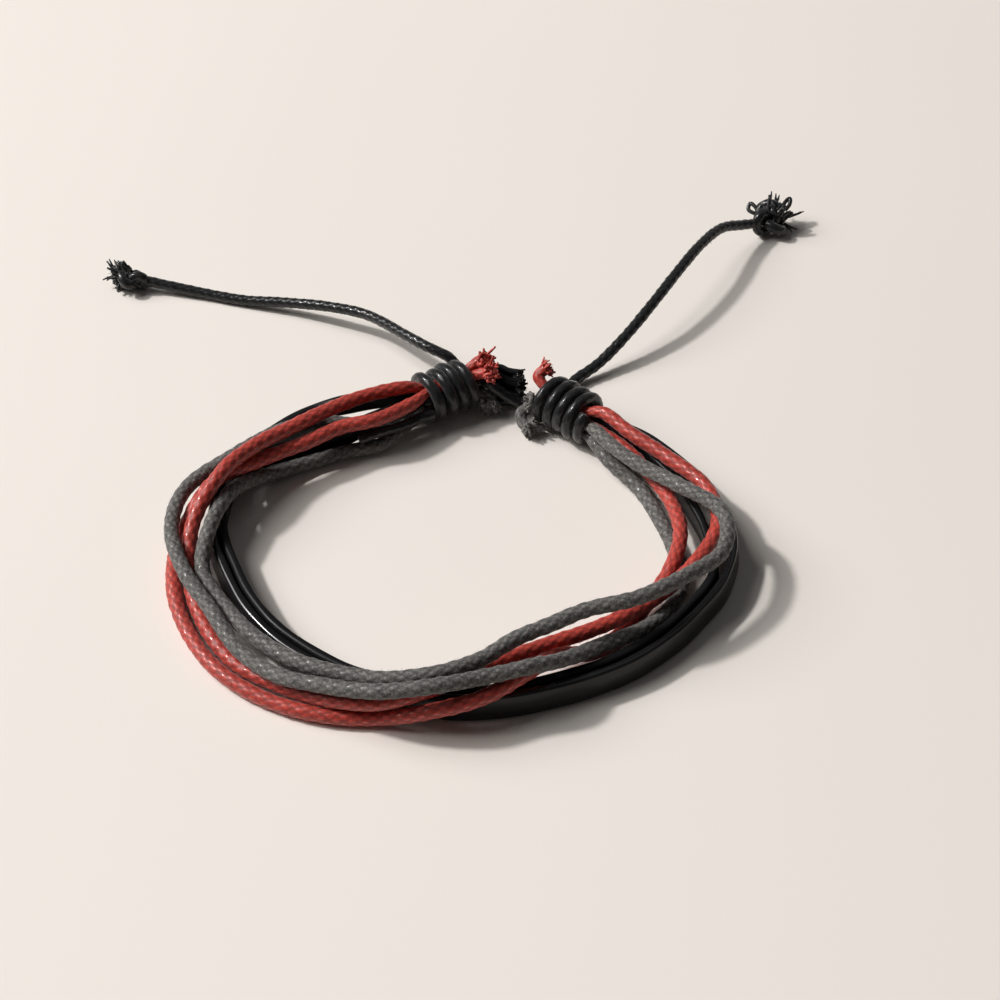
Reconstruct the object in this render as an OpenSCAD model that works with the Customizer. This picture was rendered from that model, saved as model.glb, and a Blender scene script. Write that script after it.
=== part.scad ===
// Adjustable bracelet of two leather strips and four waxed cords, lying on a table as a loop.
// The origin is on the table, in the middle of the loop, with +Z up and +Y towards the two wraps.

/* [Waxed cords] */
// Thickness of the red and grey cords
cord_d = 1.8; // [1.4:0.1:1.8]
// Thickness of a cord where a wrap squeezes it
squeezed_d = 0.75; // [0.55:0.05:0.75]

/* [Leather strips] */
// Width of a strip, which stands on edge
strip_w = 3.4; // [3:0.1:3.4]
// Thickness of the leather
strip_t = 1; // [0.8:0.1:1]
// Width of a strip inside the wraps
squeezed_w = 1.8; // [1.6:0.1:1.8]
// Thickness of a strip inside the wraps
squeezed_t = 0.6; // [0.5:0.1:0.6]

/* [Wraps] */
// Thickness of the black cord that makes the wraps, the links and the draw cords
black_d = 1.4; // [1.2:0.1:1.4]
// Radius of a wrap, to the middle of its cord
wrap_r = 2.55; // [2.55:0.05:2.55]
// Length of a wrap, between the middles of its first and last turn
wrap_len = 6.8; // [6.6:0.1:7.2]

/* [Knots] */
// Width of the left end knot
left_knot_d = 2.3; // [2:0.1:2.4]
// Width of the right end knot
right_knot_d = 3; // [2.6:0.1:3.2]

/* [Hidden] */

// Sides of a cord's tube, rings between two route points, and rings in a turn of a wrap
sides = 8;
steps = 2;
turn_rings = 18;

// Gap between the end of a wrap and its draw cord
small_gap = 0.2;

// How far the whole is moved, so that the origin is in the middle of the loop's outline
shift = [0.85, -0.35, 0];

// Each wrap: the middle of it, and the direction of its axis seen from above
left_middle = [-2.1, 23.92, 3.28];
left_turn = 30;
right_middle = [12.98, 20.64, 3.28];
right_turn = -38;

// Where the turns of each wrap end, as an angle from the back over the top, and how many turns
left_end_angle = -30;
left_turns = 4.39;
right_end_angle = -90;
right_turns = 4.4;

// Distances along a wrap's axis at which a strand is held
held_at = [4.2, 1.4, -1.4, -4.2];

// The stations round the loop. Columns: angle seen from above, then for red cord 1, red cord 2,
// grey cord 1 and grey cord 2 the distance from the middle of the loop and the height
stations = [
    [120, 23.4, 5.7, 19.8, 4.9, 23.5, 1.0, 19.4, 1.1],
    [132, 23.7, 5.9, 21.4, 4.7, 26.0, 2.4, 20.9, 1.0],
    [144, 24.6, 6.1, 22.8, 4.5, 27.0, 4.0, 23.0, 1.0],
    [156, 26.5, 6.4, 25.8, 4.5, 28.5, 4.7, 25.4, 2.1],
    [168, 28.2, 6.7, 29.5, 4.7, 32.3, 3.9, 26.9, 4.4],
    [180, 30.4, 4.3, 32.2, 1.4, 32.8, 4.1, 28.2, 4.7],
    [192, 30.9, 1.4, 32.9, 1.0, 31.5, 4.0, 29.4, 3.4],
    [204, 30.7, 1.0, 32.7, 0.9, 29.9, 3.6, 28.0, 2.7],
    [216, 30.1, 1.0, 32.2, 1.0, 29.7, 3.2, 27.4, 3.5],
    [228, 28.5, 1.5, 31.0, 0.9, 29.2, 3.7, 26.8, 4.2],
    [240, 27.6, 2.5, 29.2, 1.0, 28.0, 4.8, 25.9, 4.9],
    [252, 26.7, 3.7, 27.1, 1.2, 27.4, 6.0, 25.3, 5.7],
    [264, 24.6, 4.5, 26.6, 3.2, 26.3, 6.9, 24.2, 6.5],
    [276, 21.6, 4.3, 25.8, 4.5, 24.7, 6.5, 22.2, 6.4],
    [288, 20.2, 3.8, 23.6, 4.6, 24.4, 6.6, 20.2, 6.6],
    [300, 19.8, 3.4, 21.8, 3.5, 23.5, 4.7, 20.1, 6.9],
    [312, 20.6, 3.2, 22.2, 1.3, 23.5, 3.7, 21.0, 7.3],
    [324, 22.2, 3.2, 22.5, 1.0, 24.8, 2.8, 24.1, 7.6],
    [336, 24.3, 3.3, 23.1, 1.5, 25.4, 1.2, 27.0, 7.5],
    [348, 27.1, 4.1, 24.4, 2.7, 25.8, 1.1, 30.0, 6.7],
    [360, 29.4, 4.6, 25.2, 3.1, 24.4, 1.0, 29.7, 6.6],
    [372, 28.9, 4.7, 25.0, 2.8, 23.4, 1.0, 25.6, 5.6],
    [384, 26.4, 4.8, 24.5, 2.5, 22.9, 1.0, 23.2, 4.5],
    [396, 24.7, 5.1, 24.0, 2.9, 21.9, 1.8, 22.2, 4.2]
];

// The strips at the same angles. Columns: angle, distance of the outer and of the inner strip,
// height of their lower edge, and how far each leans in towards the middle of the loop
strips = [
    [120, 25.3, 21.4, 1.7,  5,  5],
    [132, 28.2, 22.6, 0.2, 25,  5],
    [144, 29.2, 25.2, 0.1, 28,  5],
    [156, 30.0, 28.2, 0.0, 15,  8],
    [168, 29.2, 27.9, 0.0,  6,  6],
    [180, 28.3, 27.0, 0.0,  5,  5],
    [192, 27.0, 25.7, 0.0,  5,  5],
    [204, 26.3, 25.0, 0.0,  5,  5],
    [216, 25.7, 24.4, 0.0,  5,  5],
    [228, 25.1, 23.8, 0.0,  5,  5],
    [240, 24.8, 23.5, 0.0,  5,  5],
    [252, 24.6, 23.3, 0.0,  5,  5],
    [264, 24.6, 23.3, 0.0,  5,  5],
    [276, 24.8, 23.5, 0.0,  5,  5],
    [288, 25.0, 23.7, 0.0,  5,  5],
    [300, 25.6, 24.3, 0.0,  5,  5],
    [312, 26.7, 25.4, 0.0,  5,  5],
    [324, 27.9, 26.6, 0.0,  6,  6],
    [336, 29.2, 27.9, 0.0,  6,  6],
    [348, 30.8, 29.3, 0.0,  6,  6],
    [360, 31.3, 28.3, 0.0,  6,  6],
    [372, 30.1, 27.2, 0.1,  6,  5],
    [384, 28.6, 26.3, 0.1,  4,  3],
    [396, 27.2, 25.5, 0.7,  2,  2]
];

// Each strand's place in the left and in the right wrap: outwards, then up, from the wrap's axis
red_1_slots = [[0.45, 1.33], [-0.3, 1.37]];
red_2_slots = [[-0.5, 1.33], [-0.575, 0]];
grey_1_slots = [[0.45, -1.33], [-1.3, -0.45]];
grey_2_slots = [[-1.2, -0.45], [-1.3, 0.45]];
outer_strip_slots = [[1, 0], [1, 0]];
inner_strip_slots = [[0.15, 0], [0.15, 0]];
link_1_slots = [[-0.45, -1.35], [0.3, -1.37]];
link_2_slots = [[-1.2, 0.45], [-0.55, -1.28]];

// The first row of each cord outside the left and the right wrap: along, outwards and up from the
// wrap's middle, and the cord's radius there as a share of its thickness
red_1_mouths = [[-5.2, 1, 2.1, 0.4], [5.2, 0.1, 2.1, 0.4]];
red_2_mouths = [[-5.2, -1.3, 1.3, 0.4], [5.2, -0.7, 0, 0.28]];
grey_1_mouths = [[-6.2, 1.2, -2.2, 0.4], [5.2, -2.1, -0.75, 0.4]];
grey_2_mouths = [[-5.8, -1.05, -2.08, 0.4], [5.2, -1.9, 0.9, 0.4]];

// Cut ends between the wraps. Those of the left wrap run from the tip to the wrap, and those of
// the right wrap from the wrap to the tip
red_1_left_end = [[2.9, 26, 6.3], [2.1, 26.6, 5.7]];
red_2_left_end = [[3.6, 24.2, 5.9], [2.8, 24.8, 5.4]];
grey_2_left_end = [[3.5, 22.9, 1.4], [3.3, 24.1, 2.15]];
outer_strip_end = [[7, 26, 3.2], [5.6, 26.3, 3.2], [4.2, 26.9, 3.3]];
inner_strip_end = [[7.3, 24.6, 3.05], [5.7, 24.8, 3.05], [4.2, 25.5, 3.1]];
red_1_right_end = [[9.3, 23.9, 5.4], [10.1, 24.7, 6.3], [10.9, 25, 6.8]];
grey_1_right_end = [[7.4, 21.5, 2.2], [7.3, 20.3, 1.5], [8.3, 19.3, 1.2]];
grey_2_right_end = [[8, 21.5, 3.9]];

// The cut end of the left wrap's own cord, from the tip to the first turn
left_wrap_tail = [[-12.2, 15.8, 2.8], [-9.8, 16.9, 3], [-7.6, 18.1, 2.7], [-5.8, 19.2, 2.6], [-4.6, 19.6, 3]];

// The two black links between the wraps
link_1_middle = [[3.4, 25.2, 0.85], [5.4, 24.9, 0.8], [7.8, 25, 0.85]];
link_2_middle = [[3.4, 24.4, 3.85], [5.2, 23.6, 3], [6.8, 23.1, 2.2], [8.05, 23.15, 2]];
link_2_end = [[16.65, 16.75, 1.65]];

// Routes of the two draw cords, from the wrap to the knot
left_draw_route = [
    [-0.6, 28.2, 3.2], [-1.7, 28.9, 4.3], [-2.9, 29.4, 4.7], [-4.8, 30.6, 4.8], [-7.2, 32.9, 4.5],
    [-12, 38, 3.3], [-17, 40.5, 2.6], [-22.5, 42.5, 1.6], [-28.5, 44, 0.8], [-34, 45.5, 0.8],
    [-38.5, 46.5, 1.2], [-41, 47, 1.5]
];
right_draw_route = [
    [12, 25.9, 0.8], [14, 28.6, 0.9], [17, 31, 1.6], [20.5, 34.5, 3.2], [24, 39, 4.7],
    [27.5, 44.5, 5.5], [30.5, 49.5, 5.5], [33.5, 54, 4.6], [36.5, 56.5, 3.2], [38, 57.5, 2.6]
];

// A smooth curve that passes through every row, whatever the number of columns
function between(p0, p1, p2, p3, t) =
    (2 * p1 + (p2 - p0) * t + (2 * p0 - 5 * p1 + 4 * p2 - p3) * t * t
    + (3 * p1 - 3 * p2 + p3 - p0) * t * t * t) / 2;
function smooth(rows, n = steps) =
    let (last = len(rows) - 1,
         all = concat([2 * rows[0] - rows[1]], rows, [2 * rows[last] - rows[last - 1]]))
    concat(
        [for (i = [0:last - 1]) for (k = [0:n - 1])
            between(all[i], all[i + 1], all[i + 2], all[i + 3], k / n)],
        [rows[last]]);

// A point from its angle, distance and height
function round_point(angle, out, up) = [out * cos(angle), out * sin(angle), up];

// A point from its distances along, outwards and up from the middle of a wrap
function wrap_point(middle, turn, along, out, up) =
    middle + [along * cos(turn) - out * sin(turn), along * sin(turn) + out * cos(turn), up];
function left_point(along, slot) = wrap_point(left_middle, left_turn, along, slot[0], slot[1]);
function right_point(along, slot) = wrap_point(right_middle, right_turn, along, slot[0], slot[1]);

// Points with a radius added as a fourth column
function with_radius(points, r) = [for (p = points) [p[0], p[1], p[2], r]];

// A mouth row as a point with its radius
function mouth(middle, turn, row) =
    let (p = wrap_point(middle, turn, row[0], row[1], row[2])) [p[0], p[1], p[2], cord_d * row[3]];

// A cord's whole route: cut end, left wrap, the stations, right wrap, cut end
function cord_route(column, slots, mouths, left_end = [], right_end = []) =
    let (last = len(stations) - 1)
    concat(
        with_radius(left_end, cord_d * 0.42),
        with_radius([for (a = held_at) left_point(a, slots[0])], squeezed_d / 2),
        [mouth(left_middle, left_turn, mouths[0])],
        [for (i = [0:last]) let (s = stations[i], p = round_point(s[0], s[column], s[column + 1]))
            [p[0], p[1], p[2], (i == 0 || i == last) ? cord_d * 0.48 : cord_d / 2]],
        [mouth(right_middle, right_turn, mouths[1])],
        with_radius([for (a = held_at) right_point(a, slots[1])], squeezed_d / 2),
        with_radius(right_end, cord_d * 0.42));

// A tube along rows of point and radius. Each ring turns about the direction of the row's
// neighbours, and starts from the side that the reference direction gives
function unit(v) = v / norm(v);
function place(row) = [row[0], row[1], row[2]];
module tube(rows, reference = [0, 0, 1]) {
    last = len(rows) - 1;
    rings = [for (i = [0:last])
        let (ahead = unit(place(rows[min(i + 1, last)]) - place(rows[max(i - 1, 0)])),
             side = unit(cross(ahead, reference)),
             lift = cross(side, ahead))
        for (k = [0:sides - 1])
            place(rows[i]) + rows[i][3] * (side * cos(360 * k / sides) + lift * sin(360 * k / sides))];
    skin = [for (i = [0:last - 1]) for (k = [0:sides - 1])
        [i * sides + k, i * sides + (k + 1) % sides,
         (i + 1) * sides + (k + 1) % sides, (i + 1) * sides + k]];
    ends = [[for (k = [sides - 1:-1:0]) k], [for (k = [0:sides - 1]) last * sides + k]];
    translate(shift) polyhedron(points = rings, faces = concat(skin, ends), convexity = 8);
}

// A strip's rows: point, lean, width and thickness
function strip_route(column, lean_column, slots, end) =
    let (last = len(strips) - 1)
    concat(
        [for (p = end) concat(p, [0, strip_w * 0.9, strip_t * 0.9])],
        [for (a = held_at) concat(left_point(a, slots[0]), [0, squeezed_w, squeezed_t])],
        [for (i = [0:last])
            let (s = strips[i], lean = s[lean_column],
                 width = strip_w * ((i == 0 || i == last) ? 0.85 : 1),
                 middle = s[3] + width / 2 * cos(lean) + strip_t / 2 * sin(lean))
            concat(round_point(s[0], s[column], middle), [lean, width, strip_t])],
        [for (a = [4.2, 1.4, -1.4, -3.6])
            concat(right_point(a, slots[1]), [0, squeezed_w, squeezed_t])]);
module strip(rows) {
    last = len(rows) - 1;
    corners = [[-0.5, -0.5], [-0.5, 0.5], [0.5, 0.5], [0.5, -0.5]];
    rings = [for (i = [0:last])
        let (ahead = unit(place(rows[min(i + 1, last)]) - place(rows[max(i - 1, 0)])),
             inward = unit([-ahead[1], ahead[0], 0]),
             lean = rows[i][3],
             tall = [inward[0] * sin(lean), inward[1] * sin(lean), cos(lean)] * rows[i][4],
             thick = [inward[0] * cos(lean), inward[1] * cos(lean), -sin(lean)] * rows[i][5])
        for (c = corners) place(rows[i]) + tall * c[1] + thick * c[0]];
    skin = [for (i = [0:last - 1]) for (k = [0:3])
        [i * 4 + k, i * 4 + (k + 1) % 4, (i + 1) * 4 + (k + 1) % 4, (i + 1) * 4 + k]];
    ends = [[3, 2, 1, 0], [for (k = [0:3]) last * 4 + k]];
    translate(shift) polyhedron(points = rings, faces = concat(skin, ends), convexity = 8);
}

// The turns of a wrap, ending at the end angle beside the other wrap
function coil(middle, turn, end_angle, turns, sign) =
    let (count = round(turns * turn_rings))
    [for (i = [0:count])
        let (left = 1 - i / count, angle = end_angle - 360 * turns * left,
             along = sign * wrap_len * (0.5 - left),
             p = wrap_point(middle, turn, along, wrap_r * cos(angle), wrap_r * sin(angle)))
        [p[0], p[1], p[2], black_d / 2]];
left_coil = concat(with_radius(left_wrap_tail, black_d * 0.45),
    coil(left_middle, left_turn, left_end_angle, left_turns, 1));
right_coil = coil(right_middle, right_turn, right_end_angle, right_turns, -1);

// The point just past the end of a coil, where its draw cord goes on
function past_end(rows) =
    let (last = len(rows) - 1, p = place(rows[last]))
    p + unit(p - place(rows[last - 1])) * small_gap;

// A knot of two lobes with frayed strands at its far side
module knot(middle, d, facing, strands) {
    translate(shift + middle) rotate([0, 0, facing]) {
        hull() {
            scale([0.8, 1, 0.9]) sphere(d = d, $fn = 12);
            translate([d * 0.35, 0, 0]) sphere(d = d * 0.8, $fn = 12);
        }
        hull() {
            translate([d * 0.75, 0, d * 0.05]) sphere(d = d * 0.9, $fn = 12);
            translate([d * 1.05, d * 0.1, 0]) sphere(d = d * 0.7, $fn = 12);
        }
        for (s = strands)
            translate([d * 1.1, 0, 0]) rotate([0, -s[1], s[0]])
                cylinder(d1 = d * 0.35, d2 = d * 0.15, h = s[2], $fn = 6);
    }
}

module red_cord_1() {
    color("firebrick")
        tube(smooth(cord_route(1, red_1_slots, red_1_mouths, red_1_left_end, red_1_right_end)));
}

module red_cord_2() {
    color("brown") tube(smooth(cord_route(3, red_2_slots, red_2_mouths, red_2_left_end)));
}

module grey_cord_1() {
    color("dimgray") tube(smooth(cord_route(5, grey_1_slots, grey_1_mouths, [], grey_1_right_end)));
}

module grey_cord_2() {
    color("gray")
        tube(smooth(cord_route(7, grey_2_slots, grey_2_mouths, grey_2_left_end, grey_2_right_end)));
}

module leather_strip_1() {
    color("black") strip(smooth(strip_route(1, 4, outer_strip_slots, outer_strip_end)));
}

module leather_strip_2() {
    color("darkslategray") strip(smooth(strip_route(2, 5, inner_strip_slots, inner_strip_end)));
}

module left_wrap() {
    color("black") tube(left_coil, [cos(left_turn), sin(left_turn), 0]);
}

module right_wrap() {
    color("black") tube(right_coil, [cos(right_turn), sin(right_turn), 0]);
}

module link_cord_1() {
    route = concat(
        with_radius([for (a = [-3.6, -1.4, 1.4, 4.2]) left_point(a, link_1_slots[0])], squeezed_d / 2),
        with_radius(link_1_middle, black_d / 2),
        with_radius([for (a = [-4.2, -1.4, 1.4, 3.6]) right_point(a, link_1_slots[1])], squeezed_d / 2));
    color("black") tube(smooth(route, 3));
}

module link_cord_2() {
    route = concat(
        with_radius([for (a = [-3.6, -1.4, 1.4, 4.2]) left_point(a, link_2_slots[0])], squeezed_d / 2),
        with_radius(link_2_middle, black_d / 2),
        with_radius([for (a = [-4.2, -1.4, 1.4, 4.2]) right_point(a, link_2_slots[1])], squeezed_d / 2),
        with_radius(link_2_end, black_d * 0.5));
    color("black") tube(smooth(route, 3));
}

module left_draw_cord() {
    color("black")
        tube(smooth(with_radius(concat([past_end(left_coil)], left_draw_route), black_d / 2), 3));
}

module right_draw_cord() {
    color("black")
        tube(smooth(with_radius(concat([past_end(right_coil)], right_draw_route), black_d / 2), 3));
}

module left_end_knot() {
    color("black") knot([-42.2, 47.2, 1.1], left_knot_d, 168, [[30, 40, 1.8], [-35, 55, 1.6], [0, 5, 1.4]]);
}

module right_end_knot() {
    color("black") knot([39.6, 58.6, 1.5], right_knot_d, 35, [[40, 30, 2], [-30, 25, 2], [80, 50, 2]]);
}

red_cord_1();
red_cord_2();
grey_cord_1();
grey_cord_2();
leather_strip_1();
leather_strip_2();
left_wrap();
right_wrap();
link_cord_1();
link_cord_2();
left_draw_cord();
right_draw_cord();
left_end_knot();
right_end_knot();
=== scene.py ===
"""The dressed look of an adjustable leather and cord bracelet that lies on a table as a loop."""

import math

import bpy
import numpy as np
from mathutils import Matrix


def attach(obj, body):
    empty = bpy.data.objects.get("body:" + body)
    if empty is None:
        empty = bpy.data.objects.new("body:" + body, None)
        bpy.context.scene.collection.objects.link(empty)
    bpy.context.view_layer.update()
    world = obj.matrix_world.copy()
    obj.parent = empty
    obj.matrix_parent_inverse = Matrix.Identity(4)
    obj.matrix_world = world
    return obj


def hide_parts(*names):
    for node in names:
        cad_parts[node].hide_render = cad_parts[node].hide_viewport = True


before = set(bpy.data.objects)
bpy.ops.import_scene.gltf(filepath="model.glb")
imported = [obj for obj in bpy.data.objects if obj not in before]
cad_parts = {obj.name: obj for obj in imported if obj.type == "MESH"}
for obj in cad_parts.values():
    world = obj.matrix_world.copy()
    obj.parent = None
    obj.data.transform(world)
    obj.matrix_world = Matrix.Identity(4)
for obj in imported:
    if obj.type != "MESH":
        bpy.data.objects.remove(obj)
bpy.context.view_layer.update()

bl_info = {
    "name": "Leather and cord bracelet",
    "version": (1, 0, 0),
    "blender": (4, 5, 0),
    "location": "3D View > Sidebar > Bracelet",
    "description": "Waxed cords, leather strips, lashed wraps and knots of an adjustable bracelet",
    "category": "Object",
}

MM = 0.001

# How far the whole is moved, so that the origin is in the middle of the loop's outline
SHIFT = np.array([0.85, -0.35, 0.0])

# Routes, in millimetres and degrees, as in the solids. Only the red cords lie up to 0.5 mm away
# from theirs, at the front left and by the right wrap.

# Each wrap: middle, direction of the axis, angle at which the last turn ends, number of turns, and
# on which side the other wrap is
LEFT_WRAP = {"middle": (-2.1, 23.92, 3.28), "turn": 30, "end": -30, "turns": 4.39, "sign": 1}
RIGHT_WRAP = {"middle": (12.98, 20.64, 3.28), "turn": -38, "end": -90, "turns": 4.4, "sign": -1}

# Radius and length of a wrap, to the middle of its cord, and steps of a turn
WRAP_RADIUS = 2.55
WRAP_LENGTH = 6.8
TURN_STEPS = 48

# How far the turns of a wrap waver, and how often they do it outwards and along
WAVER = 0.16
WAVER_OUT = 1.37
WAVER_ALONG = 0.6

# Where along its axis a wrap holds a cord, and how thick it is there
HELD_AT = (2.6, 0, -2.6)
SQUEEZED = 1.15

# A cord's radius just outside a wrap: growth beside the solids, and limit as a share of its
# thickness. Then its share at the ends of the loop and at a cut end
MOUTH_SWELL = 1.15
MOUTH_LIMIT = 0.46
LOOP_END = 0.96
CUT_END = 0.84

# Where the left and the right wrap hold a strip, and how much narrower and thinner it is there.
# Then its share of the width at the ends of the loop, and of its size at the cut end
STRIP_HELD_AT = ((4.2, 1.4, -1.4, -4.2), (4.2, 1.4, -1.4, -3.6))
STRIP_SQUEEZE = (1.6, 0.4)
STRIP_LOOP_END = 0.85
STRIP_CUT_END = 0.9

# Gap between a wrap's last turn and its draw cord, and steps of a curve between two rows
DRAW_GAP = 0.2
CURVE_STEPS = 12

# Angle seen from above, then distance and height of red cords 1 and 2 and grey cords 1 and 2
STATIONS = np.array([
    [120, 23.4, 5.7, 19.8, 4.9, 23.5, 1.0, 19.4, 1.1],
    [132, 23.7, 5.9, 21.4, 4.7, 26.0, 2.4, 20.9, 1.0],
    [144, 24.6, 6.1, 22.8, 4.5, 27.0, 4.0, 23.0, 1.0],
    [156, 26.5, 6.4, 25.8, 4.5, 28.5, 4.7, 25.4, 2.1],
    [168, 28.2, 6.7, 29.5, 4.7, 32.3, 3.9, 26.9, 4.4],
    [180, 30.4, 4.3, 32.2, 1.4, 32.8, 4.1, 28.2, 4.7],
    [192, 30.9, 1.4, 32.9, 1.0, 31.5, 4.0, 29.4, 3.4],
    [204, 30.7, 1.0, 32.7, 0.9, 29.9, 3.6, 28.0, 2.7],
    [216, 30.2, 1.0, 32.2, 1.0, 29.7, 3.2, 27.4, 3.5],
    [228, 28.8, 1.5, 30.8, 0.9, 29.2, 3.7, 26.8, 4.2],
    [240, 27.9, 2.5, 29.0, 1.0, 28.0, 4.8, 25.9, 4.9],
    [252, 26.9, 3.6, 27.0, 1.2, 27.4, 6.0, 25.3, 5.7],
    [264, 24.6, 4.5, 26.6, 3.2, 26.3, 6.9, 24.2, 6.5],
    [276, 21.6, 4.3, 25.8, 4.5, 24.7, 6.5, 22.2, 6.4],
    [288, 20.2, 3.8, 23.6, 4.6, 24.4, 6.6, 20.2, 6.6],
    [300, 19.8, 3.4, 21.8, 3.5, 23.5, 4.7, 20.1, 6.9],
    [312, 20.6, 3.2, 22.2, 1.3, 23.5, 3.7, 21.0, 7.3],
    [324, 22.2, 3.2, 22.5, 1.0, 24.8, 2.8, 24.1, 7.6],
    [336, 24.3, 3.3, 23.1, 1.5, 25.4, 1.2, 27.0, 7.5],
    [348, 27.1, 4.1, 24.4, 2.7, 25.8, 1.1, 30.0, 6.7],
    [360, 29.4, 4.6, 25.2, 3.1, 24.4, 1.0, 29.7, 6.6],
    [372, 28.9, 4.7, 25.0, 2.8, 23.4, 1.0, 25.6, 5.6],
    [384, 26.4, 4.8, 24.5, 2.5, 22.9, 1.0, 23.2, 4.5],
    [396, 24.7, 5.1, 24.0, 2.9, 21.9, 1.8, 22.2, 4.2],
])

# Angle, distance of the outer and of the inner strip, height of the lower edge, leans inward
STRIPS = np.array([
    [120, 25.3, 21.4, 1.7, 5, 5],
    [132, 28.2, 22.6, 0.2, 25, 5],
    [144, 29.2, 25.2, 0.1, 28, 5],
    [156, 30.0, 28.2, 0.0, 15, 8],
    [168, 29.2, 27.9, 0.0, 6, 6],
    [180, 28.3, 27.0, 0.0, 5, 5],
    [192, 27.0, 25.7, 0.0, 5, 5],
    [204, 26.3, 25.0, 0.0, 5, 5],
    [216, 25.7, 24.4, 0.0, 5, 5],
    [228, 25.1, 23.8, 0.0, 5, 5],
    [240, 24.8, 23.5, 0.0, 5, 5],
    [252, 24.6, 23.3, 0.0, 5, 5],
    [264, 24.6, 23.3, 0.0, 5, 5],
    [276, 24.8, 23.5, 0.0, 5, 5],
    [288, 25.0, 23.7, 0.0, 5, 5],
    [300, 25.6, 24.3, 0.0, 5, 5],
    [312, 26.7, 25.4, 0.0, 5, 5],
    [324, 27.9, 26.6, 0.0, 6, 6],
    [336, 29.2, 27.9, 0.0, 6, 6],
    [348, 30.8, 29.3, 0.0, 6, 6],
    [360, 31.3, 28.3, 0.0, 6, 6],
    [372, 30.1, 27.2, 0.1, 6, 5],
    [384, 28.6, 26.3, 0.1, 4, 3],
    [396, 27.2, 25.5, 0.7, 2, 2],
])

# Node: column in the stations, slots in the left and right wrap (outwards, up), first rows
# outside the wraps (along, outwards, up, radius as a share of the thickness), cut ends at the
# left and right
CORDS = {
    "red_cord_1": {
        "column": 1, "slots": ((0.45, 1.33), (-0.3, 1.37)),
        "mouths": ((-5.2, 1, 2.1, 0.4), (5.2, 0.1, 2.1, 0.4)),
        "left_end": ((2.9, 26, 6.3), (2.1, 26.6, 5.7)),
        "right_end": ((9.3, 23.9, 5.4), (9.9, 24.5, 6.1), (10.5, 24.7, 6.4)),
    },
    "red_cord_2": {
        "column": 3, "slots": ((-0.5, 1.33), (-0.575, 0)),
        "mouths": ((-5.2, -1.3, 1.3, 0.4), (5.2, -0.7, 0, 0.28)),
        "left_end": ((3.6, 24.2, 5.9), (2.8, 24.8, 5.4)),
        "right_end": (),
    },
    "grey_cord_1": {
        "column": 5, "slots": ((0.45, -1.33), (-1.3, -0.45)),
        "mouths": ((-6.2, 1.2, -2.2, 0.4), (5.2, -2.1, -0.75, 0.4)),
        "left_end": (),
        "right_end": ((7.4, 21.5, 2.2), (7.3, 20.3, 1.5), (8.3, 19.3, 1.2)),
    },
    "grey_cord_2": {
        "column": 7, "slots": ((-1.2, -0.45), (-1.3, 0.45)),
        "mouths": ((-5.8, -1.05, -2.08, 0.4), (5.2, -1.9, 0.9, 0.4)),
        "left_end": ((3.5, 22.9, 1.4), (3.3, 24.1, 2.15)),
        "right_end": ((8, 21.5, 3.9),),
    },
}

# Node: columns of distance and lean, slots in the wraps, cut end at the left, material and how
# polished its edges are
LEATHER = {
    "leather_strip_1": {
        "column": 1, "lean": 4, "slots": ((1, 0), (1, 0)),
        "end": ((7, 26, 3.2), (5.6, 26.3, 3.2), (4.2, 26.9, 3.3)),
        "material": "polished black leather", "polish": 1.0,
    },
    "leather_strip_2": {
        "column": 2, "lean": 5, "slots": ((0.15, 0), (0.15, 0)),
        "end": ((7.3, 24.6, 3.05), (5.7, 24.8, 3.05), (4.2, 25.5, 3.1)),
        "material": "worn black leather", "polish": 0.05,
    },
}

# The black links: slots and stops in the wraps, points between the wraps and after them
LINKS = {
    "link_cord_1": {
        "left": (-0.45, -1.35), "left_at": (-3.6, -1.4, 1.4, 4.2),
        "between": ((3.4, 25.2, 0.85), (5.4, 24.9, 0.8), (7.8, 25, 0.85)),
        "right": (0.3, -1.37), "right_at": (-4.2, -1.4, 1.4, 3.6),
        "after": (),
    },
    "link_cord_2": {
        "left": (-1.2, 0.45), "left_at": (-3.6, -1.4, 1.4, 4.2),
        "between": ((3.4, 24.4, 3.85), (5.2, 23.6, 3), (6.8, 23.1, 2.2), (8.05, 23.15, 2)),
        "right": (-0.55, -1.28), "right_at": (-4.2, -1.4, 1.4, 4.2),
        "after": ((16.65, 16.75, 1.65),),
    },
}

# The cut end of the left wrap's own cord, from the tip to the first turn, and its share of the
# radius
LEFT_WRAP_TAIL = (
    (-12.2, 15.8, 2.8), (-9.8, 16.9, 3), (-7.6, 18.1, 2.7), (-5.8, 19.2, 2.6), (-4.6, 19.6, 3),
)
TAIL_RADIUS = 0.9

# Each draw cord: its wrap, the seed of its hairs, and its route from the wrap
DRAW_CORDS = {
    "left_draw_cord": (LEFT_WRAP, 14, (
        (-0.6, 28.2, 3.2), (-1.7, 28.9, 4.3), (-2.9, 29.4, 4.7), (-4.8, 30.6, 4.8),
        (-7.2, 32.9, 4.5), (-12, 38, 3.3), (-17, 40.5, 2.6), (-22.5, 42.5, 1.6), (-28.5, 44, 0.8),
        (-34, 45.5, 0.8), (-38.5, 46.5, 1.2), (-41, 47, 1.5),
    )),
    "right_draw_cord": (RIGHT_WRAP, 15, (
        (12, 25.9, 0.8), (14, 28.6, 0.9), (17, 31, 1.6), (20.5, 34.5, 3.2), (24, 39, 4.7),
        (27.5, 44.5, 5.5), (30.5, 49.5, 5.5), (33.5, 54, 4.6), (36.5, 56.5, 3.2), (38, 57.5, 2.6),
    )),
}

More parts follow.
